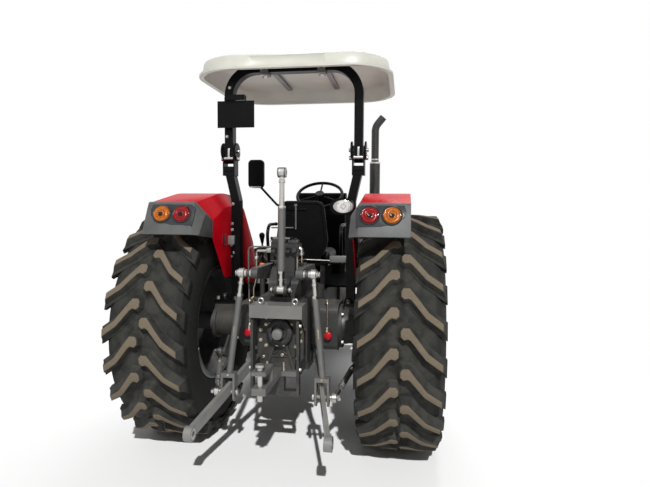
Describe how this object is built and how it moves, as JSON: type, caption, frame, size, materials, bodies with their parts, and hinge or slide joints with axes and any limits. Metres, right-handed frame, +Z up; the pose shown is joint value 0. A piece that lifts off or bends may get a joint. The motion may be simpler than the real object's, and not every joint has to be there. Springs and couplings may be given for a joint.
{
  "type": "farm tractor",
  "caption": "Open-platform farm tractor with lugged tyres, folding roll hoop with sun canopy, hinged bonnet, steered front axle and three-point linkage.",
  "frame": {"origin": "on the ground under the middle of the outline", "axes": "+X to the driver's right, +Y forward, +Z up"},
  "size_m": [2.041, 3.882, 2.66],
  "materials": {
    "paint_red": "gloss enamel",
    "casting": "painted charcoal casting",
    "shell_grey": "moulded, fine grain",
    "black_paint": "satin",
    "tyre_rubber": "worn, dusty",
    "rim_paint": "satin",
    "link_grey": "satin, worn",
    "zinc": "plated",
    "black_plastic": "moulded",
    "seat_vinyl": "embossed vinyl",
    "canopy_plastic": "moulded, smooth",
    "lens_amber": "ribbed lens",
    "lens_red": "ribbed lens",
    "lens_clear": "clear",
    "exhaust_steel": "heat stained",
    "core_metal": "finned"
  },
  "bodies": {
    "chassis": {"transmission": "casting", "lift_cover": "casting", "axle_housings": "casting", "engine": "casting", "front_support": "casting", "front_axle": "casting", "drive_shaft": "black_paint", "radiator": "core_metal", "platform": "black_paint", "fuel_tank": "black_plastic", "fender_left": "paint_red", "fender_right": "paint_red", "lamp_housings": "shell_grey", "lamps_amber": "lens_amber", "lamps_red": "lens_red", "rops_posts": "black_paint", "seat_base": "black_paint", "seat_cushion": "seat_vinyl", "seat_back": "seat_vinyl", "dash": "black_plastic", "levers": "black_plastic", "seat_rails": "black_paint", "exhaust": "exhaust_steel", "mirror": "black_plastic", "work_lamp": "black_plastic", "pto_shield": "link_grey", "drawbar_hanger": "casting", "drawbar": "casting", "hydraulic_valves": "casting"},
    "rear_wheel_left": {"rear_tyre_left": "tyre_rubber", "rear_rim_left": "rim_paint"},
    "rear_wheel_right": {"rear_tyre_right": "tyre_rubber", "rear_rim_right": "rim_paint"},
    "front_wheel_left": {"front_tyre_left": "tyre_rubber", "front_rim_left": "rim_paint"},
    "front_wheel_right": {"front_tyre_right": "tyre_rubber", "front_rim_right": "rim_paint"},
    "knuckle_left": {"knuckle_left": "casting"},
    "knuckle_right": {"knuckle_right": "casting"},
    "steering_rod": {"steering_rod": "zinc"},
    "steering_wheel": {"steering_wheel": "black_plastic"},
    "roll_hoop": {"rops_hoop": "black_paint", "canopy": "canopy_plastic", "canopy_rails": "link_grey", "number_plate": "black_plastic"},
    "bonnet": {"bonnet": "paint_red", "grille": "black_plastic", "headlamps": "lens_clear"},
    "rockshaft": {"rockshaft": "link_grey"},
    "lift_rod_left": {"lift_rod_left": "link_grey"},
    "lift_rod_right": {"lift_rod_right": "link_grey"},
    "lower_link_left": {"lower_link_left": "link_grey", "stabiliser_left": "link_grey"},
    "lower_link_right": {"lower_link_right": "link_grey", "stabiliser_right": "link_grey"},
    "top_link": {"top_link": "link_grey"}
  },
  "joints": [
    {"name": "rear_wheel_left_turn", "type": "hinge", "parent": "chassis", "child": "rear_wheel_left", "pos_m": [-0.759, -1.009, 0.78], "axis": [1, 0, 0], "continuous": true},
    {"name": "rear_wheel_right_turn", "type": "hinge", "parent": "chassis", "child": "rear_wheel_right", "pos_m": [0.759, -1.009, 0.78], "axis": [1, 0, 0], "continuous": true},
    {"name": "steering", "type": "hinge", "parent": "chassis", "child": "knuckle_left", "pos_m": [-0.64, 1.241, 0.58], "axis": [0, 0, 1], "range_deg": [-45, 45]},
    {"name": "front_wheel_left_turn", "type": "hinge", "parent": "knuckle_left", "child": "front_wheel_left", "pos_m": [-0.8, 1.241, 0.58], "axis": [1, 0, 0], "continuous": true},
    {"name": "steering_right", "type": "hinge", "parent": "chassis", "child": "knuckle_right", "pos_m": [0.64, 1.241, 0.58], "axis": [0, 0, 1], "range_deg": [-46, 46]},
    {"name": "front_wheel_right_turn", "type": "hinge", "parent": "knuckle_right", "child": "front_wheel_right", "pos_m": [0.8, 1.241, 0.58], "axis": [1, 0, 0], "continuous": true},
    {"name": "steering_rod_slide", "type": "slide", "parent": "chassis", "child": "steering_rod", "axis": [1, 0, 0], "range_m": [-0.12, 0.12]},
    {"name": "steering_wheel_turn", "type": "hinge", "parent": "chassis", "child": "steering_wheel", "pos_m": [0, 0.111, 1.727], "axis": [0, -0.5736, 0.8192], "range_deg": [-725, 725]},
    {"name": "hoop_fold", "type": "hinge", "parent": "chassis", "child": "roll_hoop", "pos_m": [0, -1.009, 1.945], "axis": [1, 0, 0], "range_deg": [0, 90]},
    {"name": "bonnet_open", "type": "hinge", "parent": "chassis", "child": "bonnet", "pos_m": [0, 0.353, 1.628], "axis": [1, 0, 0], "range_deg": [0, 55]},
    {"name": "hitch_lift", "type": "hinge", "parent": "chassis", "child": "rockshaft", "pos_m": [0, -1.089, 1.165], "axis": [-1, 0, 0], "range_deg": [0, 39.4]},
    {"name": "lift_rod_left_swing", "type": "hinge", "parent": "rockshaft", "child": "lift_rod_left", "pos_m": [-0.228, -1.459, 1.19], "axis": [-1, 0, 0], "range_deg": [-32, 2]},
    {"name": "lower_link_left_lift", "type": "hinge", "parent": "chassis", "child": "lower_link_left", "pos_m": [-0.197, -1.159, 0.6], "axis": [-1, 0, 0], "range_deg": [-1, 39]},
    {"name": "lift_rod_right_swing", "type": "hinge", "parent": "rockshaft", "child": "lift_rod_right", "pos_m": [0.228, -1.459, 1.19], "axis": [-1, 0, 0], "range_deg": [-32, 2]},
    {"name": "lower_link_right_lift", "type": "hinge", "parent": "chassis", "child": "lower_link_right", "pos_m": [0.197, -1.159, 0.6], "axis": [-1, 0, 0], "range_deg": [-1, 39]},
    {"name": "top_link_swing", "type": "hinge", "parent": "chassis", "child": "top_link", "pos_m": [0, -1.369, 1.075], "axis": [1, 0, 0], "range_deg": [0, 87]}
  ],
  "couplings": [
    {"joint": "steering_right", "follows": "steering", "ratio": 1},
    {"joint": "steering_rod_slide", "follows": "steering", "m_per_rad": 0.1485},
    {"joint": "steering_wheel_turn", "follows": "steering", "ratio": 16},
    {"joint": "lift_rod_left_swing", "follows": "hitch_lift", "ratio": -0.767},
    {"joint": "lower_link_left_lift", "follows": "hitch_lift", "ratio": 0.9632},
    {"joint": "lift_rod_right_swing", "follows": "hitch_lift", "ratio": -0.767},
    {"joint": "lower_link_right_lift", "follows": "hitch_lift", "ratio": 0.9632}
  ]
}
